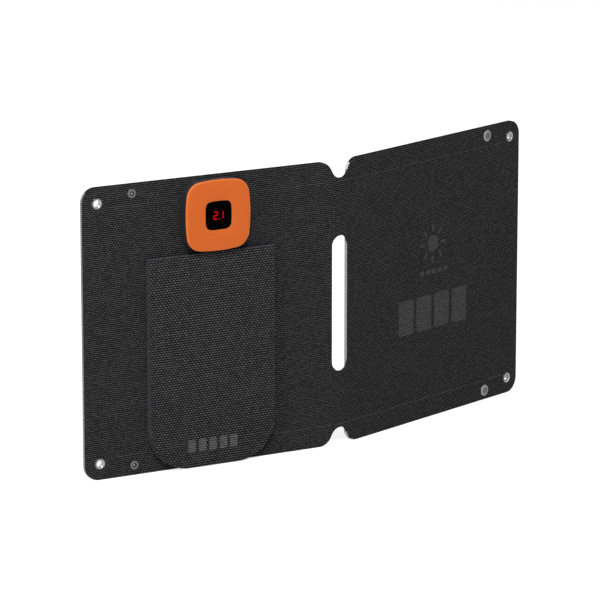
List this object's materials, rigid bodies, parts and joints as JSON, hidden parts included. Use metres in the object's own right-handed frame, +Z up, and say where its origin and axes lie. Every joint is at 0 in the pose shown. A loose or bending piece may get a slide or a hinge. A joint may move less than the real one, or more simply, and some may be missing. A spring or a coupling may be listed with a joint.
{
  "type": "folding solar charger",
  "caption": "Folding solar charger: two fabric-backed boards joined by a slotted fabric fold, with corner eyelets, snaps, a controller box with a display, and a hinged leg.",
  "frame": {"origin": "bottom centre of the box round the whole object, standing on its long edges", "axes": "+X along the width, +Y from the fabric side to the solar side, +Z up"},
  "size_m": [0.482, 0.046, 0.25],
  "materials": {
    "fabric": "matte woven polyester",
    "edging": "matte",
    "board_core": "cut foam sheet",
    "back_sheet": "matte",
    "solar_cell": "dark blue silicon",
    "clear_film": "clear embossed film",
    "tinned_copper": "tinned",
    "bright_metal": "polished",
    "steel": "plain",
    "dark_housing": "satin",
    "orange_cover": "soft satin",
    "black_window": "gloss",
    "lit_segments": "lit red",
    "black_plastic": "matte",
    "circuit_board": "solder mask",
    "capacitor_can": "plain",
    "leg_plastic": "satin",
    "fibre_board": "pressed"
  },
  "bodies": {
    "panel_left": {"board_screws": "steel", "capacitors": "capacitor_can", "circuit_board": "circuit_board", "controller_base": "dark_housing", "controller_cover": "orange_cover", "controller_screws": "steel", "converter_chip": "black_plastic", "diode": "black_plastic", "display_module": "black_plastic", "display_segments": "lit_segments", "display_window": "black_window", "fold_jumper": "tinned_copper", "fold_web_inner": "fabric", "fold_web_outer": "fabric", "inductor": "black_plastic", "left_back_fabric": "fabric", "left_backsheet": "back_sheet", "left_cells": "solar_cell", "left_core_board": "board_core", "left_eyelet_washers": "bright_metal", "left_eyelets": "bright_metal", "left_front_fabric": "fabric", "left_front_film": "clear_film", "left_hems": "edging", "left_ribbons": "tinned_copper", "left_snap_posts": "bright_metal", "left_snap_studs": "bright_metal", "left_terminals": "tinned_copper", "leg_hinge_ears": "leg_plastic", "panel_leads": "tinned_copper", "usb_contacts": "tinned_copper", "usb_insulator": "black_plastic", "usb_shell": "steel"},
    "panel_right": {"right_back_fabric": "fabric", "right_backsheet": "back_sheet", "right_cells": "solar_cell", "right_core_board": "board_core", "right_eyelet_washers": "bright_metal", "right_eyelets": "bright_metal", "right_front_fabric": "fabric", "right_front_film": "clear_film", "right_hems": "edging", "right_ribbons": "tinned_copper", "right_snap_caps": "bright_metal", "right_snap_sockets": "bright_metal", "right_terminals": "tinned_copper"},
    "leg": {"leg_shell": "leg_plastic", "leg_stiffener": "fibre_board", "leg_face_fabric": "fabric", "leg_hinge_pin": "steel"}
  },
  "joints": [
    {"name": "fold", "type": "hinge", "parent": "panel_left", "child": "panel_right", "pos_m": [0, -0.01738, 0.125], "axis": [0, 0, 1], "range_deg": [-20, 160], "deforming": ["fold_web_outer", "fold_web_inner", "fold_jumper"]},
    {"name": "leg_hinge", "type": "hinge", "parent": "panel_left", "child": "leg", "pos_m": [-0.12531, -0.00428, 0.18215], "axis": [-0.9848, 0.1736, 0], "range_deg": [0, 50]}
  ]
}
